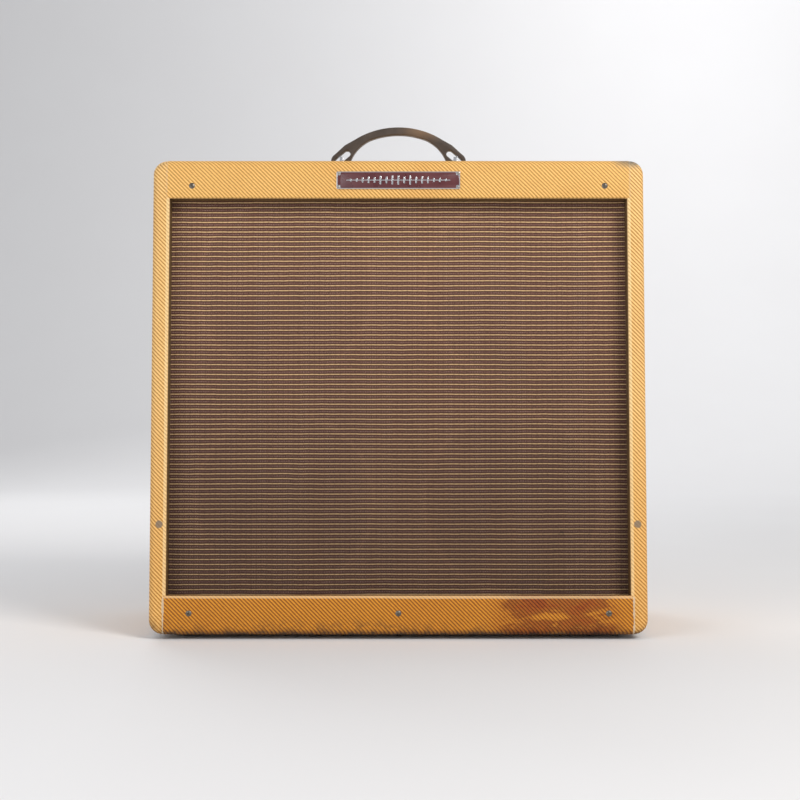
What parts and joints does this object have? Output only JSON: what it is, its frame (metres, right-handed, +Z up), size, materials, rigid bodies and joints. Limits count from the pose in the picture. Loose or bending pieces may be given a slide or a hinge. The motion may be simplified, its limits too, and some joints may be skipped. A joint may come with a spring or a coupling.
{
  "type": "guitar amplifier",
  "caption": "Tweed-covered valve guitar amplifier with a leaning grille, open back, loudspeakers, top controls facing up and a strap handle.",
  "frame": {"origin": "under the middle of the cabinet, on the plane its four glides stand on", "axes": "+Z up; the grille faces -Y and the open back faces +Y; +X is on the right as seen from the front"},
  "size_m": [0.597, 0.2665, 0.632],
  "materials": {
    "pine": "bare planed pine",
    "tweed_covering": "lacquered diagonal tweed cloth, worn and stained",
    "plywood": "dark stained plywood",
    "grille_cloth": "oxblood cloth with fine gold stripes",
    "badge_enamel": "maroon enamel in a bright rim",
    "speaker_frame": "plated pressed steel",
    "cone_paper": "ribbed black felted paper",
    "chromed_steel": "polished",
    "nickel": "bright nickel plate",
    "earth_strip": "bare brass and plated cans",
    "knob_plastic": "dark brown moulded pointer knob",
    "black_phenolic": "black phenolic",
    "lamp_jewel": "faceted red jewel",
    "valve_glass": "clear glass on a dark base",
    "valve_shield": "drawn aluminium shield",
    "transformer_black": "black enamelled bells on iron laminations",
    "fibre_board": "black fibre board with capacitors",
    "black_rubber": "dark rubber",
    "handle_leather": "dark brown semi-gloss"
  },
  "bodies": {
    "cabinet": {"cabinet_left": "pine", "cabinet_right": "pine", "cabinet_top": "pine", "cabinet_bottom": "pine", "front_top_rail": "pine", "front_bottom_rail": "pine", "cloth_covering": "tweed_covering", "upper_rear_panel": "tweed_covering", "lower_rear_panel": "tweed_covering", "baffle_board": "plywood", "grille_cloth": "grille_cloth", "badge_plate": "badge_enamel", "speaker_upper_left": "speaker_frame", "speaker_upper_right": "speaker_frame", "speaker_lower_left": "speaker_frame", "speaker_lower_right": "speaker_frame", "chassis": "chromed_steel", "handle_bracket_left": "chromed_steel", "handle_bracket_right": "chromed_steel", "bright_jack_1": "nickel", "bright_jack_2": "nickel", "normal_jack_1": "nickel", "normal_jack_2": "nickel", "glide_front_left": "nickel", "glide_front_right": "nickel", "glide_rear_left": "nickel", "glide_rear_right": "nickel", "potentiometers": "earth_strip", "ground_switch_body": "black_phenolic", "power_switch_body": "black_phenolic", "standby_switch_body": "black_phenolic", "fuse_holder": "black_phenolic", "pilot_lamp": "lamp_jewel", "rectifier_valve": "valve_glass", "power_valve_a": "valve_glass", "power_valve_b": "valve_glass", "preamp_valve_a": "valve_shield", "preamp_valve_b": "valve_shield", "preamp_valve_c": "valve_shield", "power_transformer": "transformer_black", "output_transformer": "transformer_black", "smoothing_choke": "transformer_black", "circuit_board": "fibre_board", "cord_grommet": "black_rubber", "speaker_lead": "black_rubber"},
    "presence_knob": {"presence_knob": "knob_plastic"},
    "middle_knob": {"middle_knob": "knob_plastic"},
    "bass_knob": {"bass_knob": "knob_plastic"},
    "treble_knob": {"treble_knob": "knob_plastic"},
    "bright_volume_knob": {"bright_volume_knob": "knob_plastic"},
    "normal_volume_knob": {"normal_volume_knob": "knob_plastic"},
    "ground_lever": {"ground_switch_lever": "nickel"},
    "power_lever": {"power_switch_lever": "nickel"},
    "standby_lever": {"standby_switch_lever": "nickel"},
    "fuse_cap": {"fuse_cap": "black_phenolic"},
    "cone_upper_left": {"cone_upper_left": "cone_paper"},
    "cone_upper_right": {"cone_upper_right": "cone_paper"},
    "cone_lower_left": {"cone_lower_left": "cone_paper"},
    "cone_lower_right": {"cone_lower_right": "cone_paper"},
    "handle": {"handle_strap": "handle_leather"}
  },
  "joints": [
    {"name": "presence_turn", "type": "hinge", "parent": "cabinet", "child": "presence_knob", "pos_m": [0.092, 0.096, 0.5572], "axis": [0, 0, 1], "range_deg": [-110, 190]},
    {"name": "middle_turn", "type": "hinge", "parent": "cabinet", "child": "middle_knob", "pos_m": [0.052, 0.096, 0.5572], "axis": [0, 0, 1], "range_deg": [-175, 125]},
    {"name": "bass_turn", "type": "hinge", "parent": "cabinet", "child": "bass_knob", "pos_m": [0.012, 0.096, 0.5572], "axis": [0, 0, 1], "range_deg": [-220, 80]},
    {"name": "treble_turn", "type": "hinge", "parent": "cabinet", "child": "treble_knob", "pos_m": [-0.028, 0.096, 0.5572], "axis": [0, 0, 1], "range_deg": [-135, 165]},
    {"name": "bright_volume_turn", "type": "hinge", "parent": "cabinet", "child": "bright_volume_knob", "pos_m": [-0.068, 0.096, 0.5572], "axis": [0, 0, 1], "range_deg": [-200, 100]},
    {"name": "normal_volume_turn", "type": "hinge", "parent": "cabinet", "child": "normal_volume_knob", "pos_m": [-0.108, 0.096, 0.5572], "axis": [0, 0, 1], "range_deg": [-75, 225]},
    {"name": "ground_throw", "type": "hinge", "parent": "cabinet", "child": "ground_lever", "pos_m": [0.24, 0.096, 0.5602], "axis": [1, 0, 0], "range_deg": [-24, 0]},
    {"name": "power_throw", "type": "hinge", "parent": "cabinet", "child": "power_lever", "pos_m": [0.19, 0.096, 0.5602], "axis": [1, 0, 0], "range_deg": [-24, 0]},
    {"name": "standby_throw", "type": "hinge", "parent": "cabinet", "child": "standby_lever", "pos_m": [0.13, 0.096, 0.5602], "axis": [1, 0, 0], "range_deg": [-24, 0]},
    {"name": "fuse_cap_turn", "type": "hinge", "parent": "cabinet", "child": "fuse_cap", "pos_m": [0.215, 0.096, 0.5612], "axis": [0, 0, 1], "range_deg": [0, 90]},
    {"name": "cone_upper_left_stroke", "type": "slide", "parent": "cabinet", "child": "cone_upper_left", "axis": [0, -0.9981, 0.0611], "range_m": [-0.001, 0.001], "stiffness_N_per_m": 3000},
    {"name": "cone_upper_right_stroke", "type": "slide", "parent": "cabinet", "child": "cone_upper_right", "axis": [0, -0.9981, 0.0611], "range_m": [-0.001, 0.001], "stiffness_N_per_m": 3000},
    {"name": "cone_lower_left_stroke", "type": "slide", "parent": "cabinet", "child": "cone_lower_left", "axis": [0, -0.9981, 0.0611], "range_m": [-0.001, 0.001], "stiffness_N_per_m": 3000},
    {"name": "cone_lower_right_stroke", "type": "slide", "parent": "cabinet", "child": "cone_lower_right", "axis": [0, -0.9981, 0.0611], "range_m": [-0.001, 0.001], "stiffness_N_per_m": 3000},
    {"name": "handle_tilt", "type": "hinge", "parent": "cabinet", "child": "handle", "pos_m": [0, -0.0185, 0.5925], "axis": [1, 0, 0], "range_deg": [-20, 20]}
  ]
}
